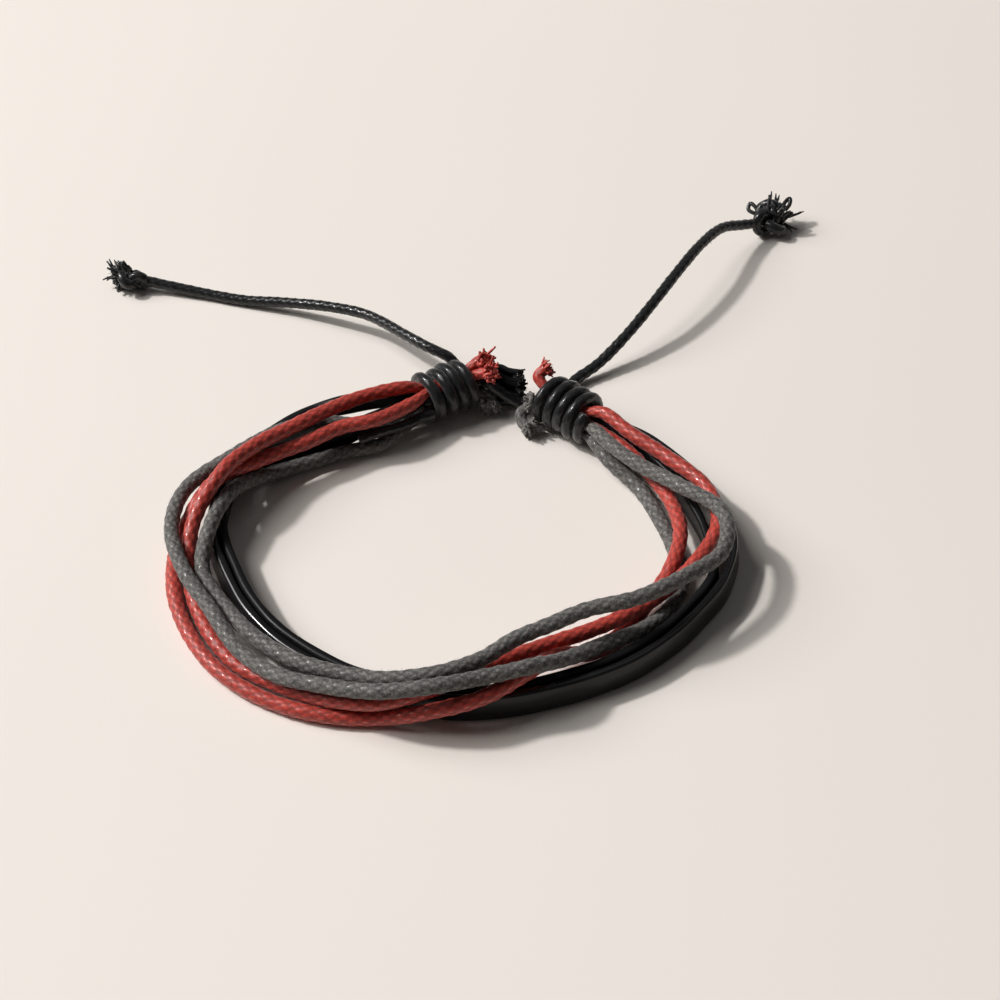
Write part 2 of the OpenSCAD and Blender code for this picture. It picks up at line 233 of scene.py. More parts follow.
# Its knot: node, middle, size, share of the cord's radius, facing, seed, frayed end (middle,
# heading, radius, yarns, how far they stand out), stray yarns from root to tip, and yarns that
# loop back
KNOTS = {
    "left_draw_cord": {
        "node": "left_end_knot", "middle": (-43.0, 47.35, 1.45), "size": (3.4, 3.3, 2.8),
        "radius": 0.95, "facing": 168, "seed": 21,
        "fray": ((-44.5, 48.05, 1.5), (-0.9, 0.35, 0.15), 1.3, 34, 0.75),
        "strays": (
            ((-45.5, 48.9, 1.9), (-46.5, 49.9, 2.8)), ((-44.4, 48.9, 2.0), (-44.5, 49.8, 2.6)),
            ((-44.9, 48.9, 2.0), (-45.6, 49.8, 2.4)), ((-45.6, 48.0, 1.4), (-46.7, 47.7, 1.4)),
        ),
        "loops": (),
    },
    "right_draw_cord": {
        "node": "right_end_knot", "middle": (40.4, 59.2, 1.95), "size": (4.2, 4.6, 3.6),
        "radius": 1, "facing": 35, "seed": 22,
        "fray": ((41.2, 60.3, 2.5), (0.3, 0.8, 0.45), 1.5, 38, 0.5),
        "strays": (
            ((43.0, 60.2, 1.6), (45.3, 61.4, 1.5)), ((40.6, 61.2, 3.0), (40.8, 62.4, 4.0)),
            ((41.4, 61.2, 3.0), (41.7, 62.3, 3.9)), ((42.6, 59.4, 1.3), (43.9, 58.6, 0.6)),
        ),
        "loops": (
            ((38.6, 60.2, 2.2), (37.8, 60.9, 2.3), (38.0, 61.6, 2.8), (38.5, 61.2, 2.8),
             (39.0, 60.4, 2.5)),
            ((42.0, 60.4, 2.6), (42.7, 61.5, 3.2), (43.3, 61.8, 3.5), (43.2, 61.0, 3.1),
             (42.6, 60.3, 2.7)),
        ),
    },
}

# An end knot's centreline: first angle and how far past a full turn it ends, in radians, points,
# height as a share of the width, and tilt in degrees
KNOT = {"from": 0.35, "past": 0.1, "points": 44, "height": 0.42, "tilt": 35}

# Frayed ends of the cords, the links and the strips: radius, yarns and how far they stand out
FRAYS = {
    ("red_cord_1", "left_end"): (0.95, 24, 0.3), ("red_cord_1", "right_end"): (0.85, 20, 0.1),
    ("red_cord_2", "left_end"): (0.95, 24, 0.3), ("grey_cord_1", "right_end"): (0.95, 22, 0.2),
    ("grey_cord_2", "left_end"): (0.95, 22, 0.3), ("grey_cord_2", "right_end"): (0.95, 22, 0.2),
}
LINK_FRAY = (0.6, 14, 0.1)
STRIP_FRAY = (1.1, 26, 0.1)

# A short yarn: its rings, their sides and its relief
THREAD_RINGS = 6
THREAD_SIDES = 6
THREAD_RELIEF = 0.9

# The matted yarns of a frayed end: angle between them, how many for each one asked for, depth,
# spread and lean as shares of the radius, and ranges of their lengths and radii
GOLDEN_ANGLE = 2.4
MATTED = {
    "many": 2, "depth": 0.6, "spread": 0.95, "lean": 0.5, "length": (0.4, 0.95),
    "radius": (0.15, 0.26), "curl": 0.8, "taper": 0.4,
}

# Its fine fibres: how many, how far back they may point, where they begin, lean, lengths, radius
FIBRES = {
    "many": 3, "back": -0.2, "start": (0.2, 0.7), "lean": 0.3, "length": (0.25, 0.5),
    "radius": 0.035, "curl": 0.9, "taper": 0.6,
}

# The stray yarns of a knot: threads in each, how far roots and headings stray, lengths, radius
STRAYS = {
    "threads": 3, "root": 0.12, "heading": 0.15, "length": (0.75, 1.0), "radius": 0.17,
    "curl": 0.3, "taper": 0.55,
}

# Hairs on a cord: rings without them at its ends, place of the root, how far they point out, along
# the cord and at random, lengths, half width, narrowing, how far the tip hangs, relief
HAIR = {
    "bare": 3, "root": 0.95, "out": (0.3, 1.0), "along": 0.9, "astray": 0.25,
    "length": (0.4, 1.2), "width": 0.014, "narrow": 0.8, "hang": 0.25, "relief": 0.8,
}

# How many hairs each kind of cord has, and how long they are
HAIRS = {"red": (500, 0.4), "grey": (2600, 0.5), "draw": (140, 0.4), "wrap": (120, 0.35)}

# The surface of each kind of cord: distance between its rings and points round each
RINGS = {
    "cord": (0.19, 30), "draw": (0.18, 24), "wrap": (0.2, 24), "knot": (0.16, 24),
    "loop": (0.12, 10),
}

# Depth, length and yarns of the plait on a knot and on a loop, and the loop's radius
KNOT_PLAIT = (0.09, 1.1, 5)
LOOP_PLAIT = (0.04, 0.6, 4)
LOOP_RADIUS = 0.28

# The black cord's plait: share of the length, yarns, and share of the depth in wraps and links
BLACK_PITCH = 0.75
BLACK_YARNS = 5
WRAP_DEPTH = 0.6

# Powers that shape a yarn across and along. Then how much and how often a cord's thickness
# changes, and the radius from which its plait is at full depth
YARN_ACROSS = 0.8
YARN_ALONG = 0.4
CORD_WAVER = (0.03, 1.9, 0.83)
FULL_DEPTH = 0.6

# A strip: distance between its rings, points round a corner, how much and how often its thickness
# changes, largest rounding as a share of half of it, hollow of its face, and where the polish of
# its edges begins and over how much it grows
STRIP_SPACING = 0.3
CORNER_STEPS = 5
STRIP_WAVER = (0.05, 0.9)
ROUNDEST = 0.9
HOLLOW = 0.05
POLISHED_FROM, POLISH_GROWS = 0.7, 0.3

# Relief in the middle of a flat end, and the slant below which a route starts upright
END_RELIEF = 0.5
UPRIGHT = 0.1

# Seeds of the random yarns and hairs; the four cords count on from theirs
SEEDS = {"cords": 5, "wraps": 31, "links": 33, "strips": 41}

# Finish of each cord: what its node group is given, and how much it reflects
FINISHES = {
    "red waxed cord": (
        {"Wear": 0.25, "Wax": 0.95, "Dullness": 0.5, "Mottle": 0.14, "Even wax": 0.0}, 0.45),
    "grey waxed cord": (
        {"Wear": 0.6, "Wax": 0.5, "Dullness": 0.66, "Mottle": 0.36, "Even wax": 0.0}, 0.35),
    "black waxed cord": (
        {"Wear": 0.1, "Wax": 1.0, "Dullness": 0.6, "Mottle": 0.35, "Even wax": 0.45}, 0.12),
}

# The camera: what it looks at and its distance in millimetres, its elevation in degrees, and the
# width of its sensor
AIM = np.array([4.6, 8.4, 0.0])
CAMERA_DISTANCE = 265
ELEVATION = 45
SENSOR = 36

# The table: half its width in metres, and how far below the cords it lies in millimetres
TABLE_REACH = 3.0
TABLE_DROP = 0.02

# Each light: direction, distance and width in metres, share of the key light's power, colour
WARM = (1.0, 0.98, 0.965)
COOL = (0.95, 0.97, 1.0)
LIGHTS = {
    "key": ((-1.0, 0.25, 1.0), 1.8, 0.15, 0.5, WARM),
    "soft_key": ((-1.0, 0.25, 1.0), 1.8, 1.4, 0.56, WARM),
    "soft_top": ((0.3, 0.5, 1.0), 1.0, 0.9, 0.006, COOL),
}


# Curves

def smooth(rows):
    """Rows of any width joined by a smooth curve that passes through each of them."""
    rows = np.asarray(rows, float)
    rows = np.vstack([2 * rows[0] - rows[1], rows, 2 * rows[-1] - rows[-2]])
    p0, p1, p2, p3 = rows[:-3, None], rows[1:-2, None], rows[2:-1, None], rows[3:, None]
    t = (np.arange(CURVE_STEPS) / CURVE_STEPS)[None, :, None]
    curve = (2 * p1 + (p2 - p0) * t + (2 * p0 - 5 * p1 + 4 * p2 - p3) * t * t
             + (3 * p1 - 3 * p2 + p3 - p0) * t ** 3) / 2
    return np.vstack([curve.reshape(-1, rows.shape[1]), rows[-2]])


def evenly(rows, spacing):
    """The same curve with its rows at equal distances, and the distance of each row."""
    gaps = np.linalg.norm(np.diff(rows[:, :3], axis=0), axis=1)
    along = np.concatenate([[0], np.cumsum(gaps)])
    count = max(4, int(round(along[-1] / spacing)))
    at = np.linspace(0, along[-1], count + 1)
    return np.column_stack([np.interp(at, along, column) for column in rows.T]), at


def unit(vectors):
    """The same directions with a length of one."""
    return vectors / np.maximum(np.linalg.norm(vectors, axis=-1, keepdims=True), 1e-12)


def wrap_point(wrap, along, out, up):
    """A point at a distance along, outwards and up from the middle of a wrap."""
    turn = math.radians(wrap["turn"])
    x, y, z = wrap["middle"]
    return (x + along * math.cos(turn) - out * math.sin(turn),
            y + along * math.sin(turn) + out * math.cos(turn), z + up)


def round_points(angles, distances, heights):
    """Points round the middle of the loop."""
    angles = np.radians(angles)
    return np.column_stack([distances * np.cos(angles), distances * np.sin(angles), heights])


def with_radius(points, radius):
    """Points that all have the same radius."""
    return [tuple(p) + (radius,) for p in points]


def held(wrap, slot, stops=HELD_AT):
    """The points at which a wrap holds a strand, with the radius that it has there."""
    return [wrap_point(wrap, along, *slot) + (SQUEEZED / 2,) for along in stops]


def mouth(wrap, row, radius):
    """The first row of a cord outside a wrap, with the cord's radius there."""
    return [wrap_point(wrap, *row[:3]) + (2 * radius * min(row[3] * MOUTH_SWELL, MOUTH_LIMIT),)]


def cord_route(cord, radius):
    """Cut end, left wrap, the way round the loop, right wrap, cut end: points and radius."""
    column = cord["column"]
    loop = round_points(STATIONS[:, 0], STATIONS[:, column], STATIONS[:, column + 1])
    radii = np.full(len(loop), radius)
    radii[[0, -1]] = radius * LOOP_END
    return np.array(
        with_radius(cord["left_end"], radius * CUT_END)
        + held(LEFT_WRAP, cord["slots"][0])
        + mouth(LEFT_WRAP, cord["mouths"][0], radius)
        + [tuple(p) + (r,) for p, r in zip(loop, radii)]
        + mouth(RIGHT_WRAP, cord["mouths"][1], radius)
        + held(RIGHT_WRAP, cord["slots"][1])
        + with_radius(cord["right_end"], radius * CUT_END))


def strip_route(strip, width, thickness):
    """Points, lean, width and thickness of a strip from its cut end to the right wrap."""
    lean = STRIPS[:, strip["lean"]]
    widths = np.full(len(lean), width)
    widths[[0, -1]] = width * STRIP_LOOP_END
    heights = (STRIPS[:, 3] + widths / 2 * np.cos(np.radians(lean))
               + thickness / 2 * np.sin(np.radians(lean)))
    loop = np.column_stack([
        round_points(STRIPS[:, 0], STRIPS[:, strip["column"]], heights), lean, widths,
        np.full(len(lean), thickness)])
    squeezed = (0, width - STRIP_SQUEEZE[0], thickness - STRIP_SQUEEZE[1])
    in_left, in_right = (
        [p[:3] + squeezed for p in held(wrap, slot, stops)]
        for wrap, slot, stops in zip((LEFT_WRAP, RIGHT_WRAP), strip["slots"], STRIP_HELD_AT))
    cut = (0, width * STRIP_CUT_END, thickness * STRIP_CUT_END)
    end = [point + cut for point in strip["end"]]
    return np.array(end + in_left + [tuple(row) for row in loop] + in_right)


def coil_route(wrap, radius):
    """The turns of a wrap, which end at the side of the other wrap."""
    count = int(wrap["turns"] * TURN_STEPS)
    rows = []
    for i in range(count + 1):
        left = 1 - i / count
        angle = math.radians(wrap["end"] - 360 * wrap["turns"] * left)
        waver = WAVER * math.sin(math.pi * left)
        along = wrap["sign"] * WRAP_LENGTH * (0.5 - left) + waver * math.sin(WAVER_ALONG * angle)
        reach = WRAP_RADIUS + waver * math.sin(WAVER_OUT * angle + wrap["turn"])
        rows.append(wrap_point(wrap, along, reach * math.cos(angle), reach * math.sin(angle))
                    + (radius,))
    return np.array(rows)


def link_route(link, radius):
    """A black link through the left wrap, across the gap and through the right wrap."""
    return np.array(
        held(LEFT_WRAP, link["left"], link["left_at"])
        + with_radius(link["between"], radius)
        + held(RIGHT_WRAP, link["right"], link["right_at"])
        + with_radius(link["after"], radius))


def draw_route(wrap, points, radius):
    """A draw cord, which goes on from the end of its wrap's last turn."""
    coil = coil_route(wrap, radius)[:, :3]
    start = coil[-1] + unit(coil[-1] - coil[-2]) * DRAW_GAP
    return np.array(with_radius((tuple(start),) + points, radius))


def knot_route(knot, radius):
    """The centreline of a tight overhand knot that faces away from its cord."""
    t = np.linspace(KNOT["from"], 2 * math.pi + KNOT["past"], KNOT["points"])
    rows = np.column_stack([
        (np.cos(t) - 2 * np.cos(2 * t)) / 3, (np.sin(t) + 2 * np.sin(2 * t)) / 3,
        -np.sin(3 * t) * KNOT["height"]])
    rows = rows * np.array(knot["size"]) / 2
    c, s = math.cos(math.radians(KNOT["tilt"])), math.sin(math.radians(KNOT["tilt"]))
    rows = rows @ np.array([[1, 0, 0], [0, c, s], [0, -s, c]])
    c, s = math.cos(math.radians(knot["facing"])), math.sin(math.radians(knot["facing"]))
    rows = rows @ np.array([[c, s, 0], [-s, c, 0], [0, 0, 1]])
    return np.array(with_radius(rows + np.array(knot["middle"]), radius * knot["radius"]))


# Shapes

class Shape:
    """Points, faces and relief gathered for one mesh, in millimetres."""

    def __init__(self):
        self.points, self.faces, self.relief, self.count = [], [], [], 0

    def add(self, points, blocks, relief):
        """Points with their relief, and blocks of faces that count from the first one."""
        self.points.append(points)
        self.relief.append(relief)
        for block in blocks:
            self.faces.extend((block + self.count).tolist())
        self.count += len(points)

    def add_rings(self, rings, relief):
        """Rings of equal size joined into a skin, with a fan over each end."""
        many, sides = rings.shape[:2]
        points = rings.reshape(-1, 3)
        a = np.arange((many - 1) * sides).reshape(many - 1, sides)
        b = np.roll(a, -1, axis=1)
        skin = np.stack([a, b, b + sides, a + sides], axis=-1).reshape(-1, 4)
        first, last = len(points), len(points) + 1
        k = np.arange(sides)
        end = (many - 1) * sides
        fans = [np.column_stack([np.full(sides, first), np.roll(k, -1), k]),
                np.column_stack([np.full(sides, last), end + k, end + np.roll(k, -1)])]
        middles = np.array([rings[0].mean(0), rings[-1].mean(0)])
        self.add(np.vstack([points, middles]), [skin] + fans,
                 np.concatenate([relief.reshape(-1), [END_RELIEF, END_RELIEF]]))


def frames(points):
    """Direction, side and lift at each point, turned as little as possible from one to the next."""
    ahead = unit(np.gradient(points, axis=0))
    side = np.empty_like(points)
    start = np.cross(ahead[0], (0, 0, 1.0))
    if np.linalg.norm(start) < UPRIGHT:
        start = np.cross(ahead[0], (0, 1.0, 0))
    side[0] = unit(start)
    for i in range(1, len(points)):
        kept = side[i - 1] - ahead[i] * np.dot(side[i - 1], ahead[i])
        side[i] = kept / np.linalg.norm(kept)
    return ahead, side, np.cross(side, ahead)


def ring_angles(sides):
    """The angle of each point of a ring."""
    return np.arange(sides) * 2 * math.pi / sides


def tube(points, side, lift, reach, angles):
    """Rings round a route, with the distance of each point from it."""
    return (points[:, None]
            + side[:, None] * (reach * np.cos(angles))[..., None]
            + lift[:, None] * (reach * np.sin(angles))[..., None])


def plait_height(along, angles, pitch, yarns):
    """Height of a plaited surface from 0 in its grooves to 1 on its yarns."""
    around = yarns * angles[None, :] / (2 * math.pi)
    a = around + along[:, None] / pitch
    b = around - along[:, None] / pitch
    over = (np.floor(a) + np.floor(b)) % 2 == 0
    across = np.where(over, a % 1, b % 1)
    length = np.where(over, b % 1, a % 1)
    return np.sin(math.pi * across) ** YARN_ACROSS * np.sin(math.pi * length) ** YARN_ALONG


def add_plaited(shape, route, rings, plait):
    """A cord swept along points with a radius; its plait is a depth, a length and yarns."""
    spacing, sides = rings
    depth, pitch, yarns = plait
    rows, along = evenly(smooth(route), spacing)
    ahead, side, lift = frames(rows[:, :3])
    angles = ring_angles(sides)
    height = plait_height(along, angles, pitch, yarns)
    change, fast, slow = CORD_WAVER
    radius = rows[:, 3] * (1 + change * np.sin(along * fast) * np.cos(along * slow))
    depth = depth * np.minimum(1, radius / FULL_DEPTH)
    reach = radius[:, None] - depth[:, None] * (1 - height)
    shape.add_rings(tube(rows[:, :3], side, lift, reach, angles), height)
    return rows, ahead, side, lift


def add_thread(shape, start, heading, length, radius, random, curl, taper):
    """One short yarn of a frayed end, which bends and gets thinner."""
    heading = unit(np.asarray(heading, float))
    bend = random.normal(size=3) * curl
    t = np.linspace(0, 1, THREAD_RINGS)[:, None]
    points = start + heading * t * length + bend * t * t * length / 2
    _, side, lift = frames(points)
    reach = radius * (1 - taper * t ** 2)
    shape.add_rings(tube(points, side, lift, reach, ring_angles(THREAD_SIDES)),
                    np.full((THREAD_RINGS, THREAD_SIDES), THREAD_RELIEF))


def add_tuft(shape, end, heading, radius, count, length, random):
    """The swollen, matted yarns and fine fibres at a cut end."""
    heading = unit(np.asarray(heading, float))
    side = unit(np.cross(heading, (0.3, 0.2, 1.0)))
    lift = np.cross(side, heading)
    look = MATTED
    yarns = count * look["many"]
    for i in range(yarns):
        angle = i * GOLDEN_ANGLE
        out = math.sqrt((i + 0.5) / yarns)
        away = side * math.cos(angle) + lift * math.sin(angle)
        start = end - heading * radius * look["depth"] + away * out * radius * look["spread"]
        add_thread(shape, start, heading + away * out * look["lean"],
                   radius * look["depth"] + length * random.uniform(*look["length"]),
                   radius * random.uniform(*look["radius"]), random, look["curl"], look["taper"])
    look = FIBRES
    for _ in range(count * look["many"]):
        away = unit(random.normal(size=3))
        away = away if away @ heading > look["back"] else -away
        start = end + (heading * length + away * radius) * random.uniform(*look["start"])
        add_thread(shape, start, away + heading * look["lean"],
                   length * random.uniform(*look["length"]), look["radius"], random,
                   look["curl"], look["taper"])


def add_stray(shape, root, tip, random):
    """A stray yarn of a knot, in a few threads."""
    root = np.array(root)
    way = np.array(tip) - root
    for _ in range(STRAYS["threads"]):
        add_thread(shape, root + random.normal(0, STRAYS["root"], 3),
                   way + random.normal(0, STRAYS["heading"], 3),
                   math.sqrt(way @ way) * random.uniform(*STRAYS["length"]), STRAYS["radius"],
                   random, STRAYS["curl"], STRAYS["taper"])


def add_hairs(shape, sweep, hairs, random):
    """Fine stray fibres that stand off a cord."""
    rows, ahead, side, lift = sweep
    count, length = hairs
    at = random.integers(HAIR["bare"], len(rows) - HAIR["bare"], count)
    angle = random.uniform(0, 2 * math.pi, count)
    away = side[at] * np.cos(angle)[:, None] + lift[at] * np.sin(angle)[:, None]
    root = rows[at, :3] + away * (rows[at, 3] * HAIR["root"])[:, None]
    lean = unit(away * random.uniform(*HAIR["out"], count)[:, None]
                + ahead[at] * random.normal(0, HAIR["along"], count)[:, None]
                + random.normal(0, HAIR["astray"], (count, 3)))
    size = (length * random.uniform(*HAIR["length"], count))[:, None]
    across = unit(np.cross(lean, away)) * HAIR["width"]
    narrow = across * HAIR["narrow"]
    middle = root + lean * size / 2
    tip = root + lean * size - away * size * HAIR["hang"]
    points = np.stack([root - across, root + across, middle - narrow, middle + narrow, tip], 1)
    first = np.arange(count)[:, None] * 5
    shape.add(points.reshape(-1, 3), [first + np.array([0, 1, 3, 2]), first + np.array([2, 3, 4])],
              np.full(count * 5, HAIR["relief"]))


def rounded_outline():
    """Corner signs and rounding directions of a strip's cross-section."""
    signs, turns = [], []
    for sx, sy, first in ((1, 1, 0), (-1, 1, 90), (-1, -1, 180), (1, -1, 270)):
        for k in range(CORNER_STEPS):
            signs.append((sx, sy))
            angle = math.radians(first + 90 * k / (CORNER_STEPS - 1))
            turns.append((math.cos(angle), math.sin(angle)))
    return np.array(signs, float), np.array(turns)


def add_strip(shape, route, edge_radius):
    """A leather strip with rounded edges, standing on one of them."""
    rows, along = evenly(smooth(route), STRIP_SPACING)
    ahead = unit(np.gradient(rows[:, :3], axis=0))
    inward = unit(np.column_stack([-ahead[:, 1], ahead[:, 0], np.zeros(len(rows))]))
    lean = np.radians(rows[:, 3])[:, None]
    up = np.array([0, 0, 1.0])
    tall = inward * np.sin(lean) + up * np.cos(lean)
    thick = inward * np.cos(lean) - up * np.sin(lean)
    signs, turns = rounded_outline()
    change, often = STRIP_WAVER
    half_x = rows[:, 5] / 2 * (1 + change * np.sin(along * often))
    half_y = rows[:, 4] / 2
    radius = np.minimum(edge_radius, half_x * ROUNDEST)
    x = signs[:, 0] * (half_x - radius)[:, None] + turns[:, 0] * radius[:, None]
    y = signs[:, 1] * (half_y - radius)[:, None] + turns[:, 1] * radius[:, None]
    x = x - HOLLOW * (1 - (y / half_y[:, None]) ** 2)
    rings = rows[:, None, :3] + thick[:, None] * x[..., None] + tall[:, None] * y[..., None]
    polish = np.clip((np.abs(y) / half_y[:, None] - POLISHED_FROM) / POLISH_GROWS, 0, 1)
    shape.add_rings(rings, polish)


def make_piece(name, shape, material, node):
    """A mesh piece that stands for one node of the solids."""
    points = np.vstack(shape.points) + SHIFT
    points[:, 2] = np.maximum(points[:, 2], 0)
    points *= MM
    mesh = bpy.data.meshes.new(name)
    mesh.from_pydata(points.tolist(), [], shape.faces)
    relief = mesh.attributes.new("relief", "FLOAT", "POINT")
    relief.data.foreach_set("value", np.concatenate(shape.relief).astype(np.float32))
    mesh.polygons.foreach_set("use_smooth", np.ones(len(mesh.polygons), bool))
    mesh.materials.append(material)
    mesh.validate()
    mesh.update()
    piece = bpy.data.objects.new(name, mesh)
    bpy.context.scene.collection.objects.link(piece)
    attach(piece, "root")
    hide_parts(node)
    return piece


# Materials

class Tree:
    """A node tree, with short ways to add nodes to it."""

    def __init__(self, tree):
        self.nodes, self.links = tree.nodes, tree.links

    def fill(self, node, values):
        """Links or fixed values for a node's inputs."""
        for name, value in values.items():
            if isinstance(value, bpy.types.NodeSocket):
                self.links.new(value, node.inputs[name])
            else:
                node.inputs[name].default_value = value

    def add(self, kind, output, values, **settings):
        """An output of a new node with these inputs and settings."""
        node = self.nodes.new("ShaderNode" + kind)
        for name, value in settings.items():
            setattr(node, name, value)
        self.fill(node, values)
        return node.outputs[output]

    def place(self):
        """Where a point is on its piece, in metres."""
        return self.add("TexCoord", "Object", {})

    def relief(self):
        """The relief that is stored with a mesh."""
        return self.add("Attribute", "Fac", {}, attribute_name="relief")

    def noise(self, vector, scale, detail=3.0, roughness=0.6):
        """Smooth noise; its scale is per metre."""
        return self.add("TexNoise", "Fac", {
            "Vector": vector, "Scale": scale, "Detail": detail, "Roughness": roughness})

    def remap(self, value, low, high, to_low=0.0, to_high=1.0):
        """A range of values stretched over another one and cut off at its ends."""
        return self.add("MapRange", "Result", {
            "Value": value, "From Min": low, "From Max": high, "To Min": to_low, "To Max": to_high})

    def math(self, operation, a, b):
        """Two values combined by an operation."""
        return self.add("Math", 0, {0: a, 1: b}, operation=operation)

    def times(self, a, b):
        """Two values multiplied."""
        return self.math("MULTIPLY", a, b)

    def blend(self, fac, a, b, mode="MIX"):
        """Two colours blended by a factor; 6, 7 and 2 are the node's colour sockets."""
        return self.add("Mix", 2, {0: fac, 6: a, 7: b}, data_type="RGBA", blend_type=mode)

    def bump(self, height, strength, distance):
        """A bumpy surface; its distance is in millimetres."""
        return self.add("Bump", "Normal", {
            "Height": height, "Strength": strength, "Distance": distance * MM})


def linear(color):
    """A colour from the 0 to 255 scale to the shader's linear scale."""
    return tuple(((c / 255) / 12.92 if c <= 10 else ((c / 255 + 0.055) / 1.055) ** 2.4)
                 for c in color) + (1.0,)


def shaded(color, factor, added=0.0):
    """A colour made lighter or darker."""
    return tuple(min(1, c * factor + added) for c in color[:3]) + (1,)


def new_material(name):
    """A material, its node tree and its shader."""
    material = bpy.data.materials.new(name)
    material.use_nodes = True
    return material, Tree(material.node_tree), material.node_tree.nodes["Principled BSDF"]


def new_group(name, inputs):
    """An empty group with these inputs and the outputs of a surface, its tree and its two ends."""
    group = bpy.data.node_groups.new(name, "ShaderNodeTree")
    for label, value in inputs.items():
        kind = "NodeSocketColor" if isinstance(value, tuple) else "NodeSocketFloat"
        socket = group.interface.new_socket(name=label, in_out="INPUT", socket_type=kind)
        socket.default_value = value
    group.interface.new_socket(name="Color", in_out="OUTPUT", socket_type="NodeSocketColor")
    for label in ("Roughness", "Coat", "Height"):
        group.interface.new_socket(name=label, in_out="OUTPUT", socket_type="NodeSocketFloat")
    start, end = group.nodes.new("NodeGroupInput"), group.nodes.new("NodeGroupOutput")
    return group, Tree(group), start.outputs, end


def waxed_yarn_group():
    """Painted groove shade, patches of wax and loose fibres, for every waxed cord."""
    name = "Waxed yarn"
    if name in bpy.data.node_groups:
        return bpy.data.node_groups[name]
    group, tree, given, end = new_group(name, {
        "Yarn": (0.5, 0.5, 0.5, 1), "Painted groove shade": (0.1, 0.1, 0.1, 1), "Worn": (0.8, 0.8, 0.8, 1),
        "Wear": 0.3, "Wax": 0.5, "Dullness": 0.6, "Mottle": 0.3, "Even wax": 0.0})
    place, relief = tree.place(), tree.relief()
    broad = tree.noise(place, 260, detail=2)
    fine = tree.noise(place, 2600)
    fibre = tree.noise(place, 9000, detail=2)
    patches = tree.remap(tree.noise(place, 3400), 0.41, 0.59, to_low=-1, to_high=1)
    # Painted shade in the plait's grooves: where the relief is low, the darker groove colour is
    # blended in instead of the yarn's own colour
    out_of_groove_shade = tree.remap(relief, 0.15, 0.75)
    worn = tree.times(tree.remap(fine, 0.49, 0.62), tree.remap(relief, 0.5, 1.0))
    waxed = tree.times(tree.remap(fine, 0.48, 0.62), tree.remap(relief, 0.55, 0.95))
    shade = tree.math("ADD", tree.remap(broad, 0.3, 0.7, to_low=0.86, to_high=1.1),
                      tree.times(patches, given["Mottle"]))
    grey = tree.add("CombineColor", 0, {0: shade, 1: shade, 2: shade})
    color = tree.blend(out_of_groove_shade, given["Painted groove shade"], given["Yarn"])
    color = tree.blend(tree.times(worn, given["Wear"]), color, given["Worn"])
    wax = tree.times(tree.math("MAXIMUM", waxed, given["Even wax"]), given["Wax"])
    tree.fill(end, {
        "Color": tree.blend(1.0, color, grey, "MULTIPLY"), "Coat": wax,
        "Roughness": tree.math("SUBTRACT", given["Dullness"], tree.times(wax, 0.35)),
        "Height": tree.math("ADD", tree.times(fine, 0.6), fibre)})
    return group


def leather_group():
    """Fine grain, scuffs, lighter places and burnished edges, for both leathers."""
    name = "Black leather"
    if name in bpy.data.node_groups:
        return bpy.data.node_groups[name]
    group, tree, given, end = new_group(name, {
        "Leather": (0.01, 0.01, 0.01, 1), "Lighter": (0.02, 0.02, 0.02, 1),
        "Scuffed": (0.03, 0.03, 0.03, 1), "Polish": 1.0})
    place = tree.place()
    broad = tree.noise(place, 190)
    scuffs = tree.remap(tree.noise(place, 1300, detail=4, roughness=0.7), 0.62, 0.72)
    grain = tree.noise(place, 700, detail=4)
    pores = tree.add("TexVoronoi", "Distance", {"Vector": place, "Scale": 2100})
    color = tree.blend(tree.remap(broad, 0.35, 0.7), given["Leather"], given["Lighter"])
    rough = tree.remap(broad, 0.3, 0.7, to_low=0.38, to_high=0.5)
    polished = tree.times(tree.relief(), given["Polish"])
    tree.fill(end, {
        "Color": tree.blend(tree.times(scuffs, 0.25), color, given["Scuffed"]),
        "Roughness": tree.math("SUBTRACT", rough, tree.times(polished, 0.14)),
        "Coat": polished, "Height": tree.math("ADD", pores, tree.times(grain, 1.5))})
    return group


def surface(name, group, values, gloss, strength, distance):
    """A material whose colour, roughness, coat and bumps come from a group."""
    material, tree, shader = new_material(name)
    node = tree.nodes.new("ShaderNodeGroup")
    node.node_tree = group
    tree.fill(node, values)
    tree.fill(shader, {
        "Base Color": node.outputs["Color"], "Roughness": node.outputs["Roughness"],
        "Coat Weight": node.outputs["Coat"],
        "Normal": tree.bump(node.outputs["Height"], strength, distance), **gloss})
    return material


def yarn_material(name, yarn):
    """A waxed cotton cord of one colour."""
    if name in bpy.data.materials:
        return bpy.data.materials[name]
    finish, specular = FINISHES[name]
    # The grooves get a painted shade, half as bright as the yarn
    values = {"Yarn": tuple(yarn), "Painted groove shade": shaded(yarn, 0.5), "Worn": shaded(yarn, 1.5, 0.06),
              **finish}
    gloss = {"Specular IOR Level": specular, "Coat Roughness": 0.14, "Sheen Weight": 0.15,
             "Sheen Roughness": 0.5}
    return surface(name, waxed_yarn_group(), values, gloss, strength=0.8, distance=0.02)


def leather_material(name, leather, polish):
    """Smooth black leather, whose edges may be polished."""
    values = {"Leather": tuple(leather), "Lighter": shaded(leather, 1.5),
              "Scuffed": linear((50, 48, 47)), "Polish": polish}
    gloss = {"Specular IOR Level": 0.16, "Coat Roughness": 0.18}
    return surface(name, leather_group(), values, gloss, strength=0.35, distance=0.03)


# Settings

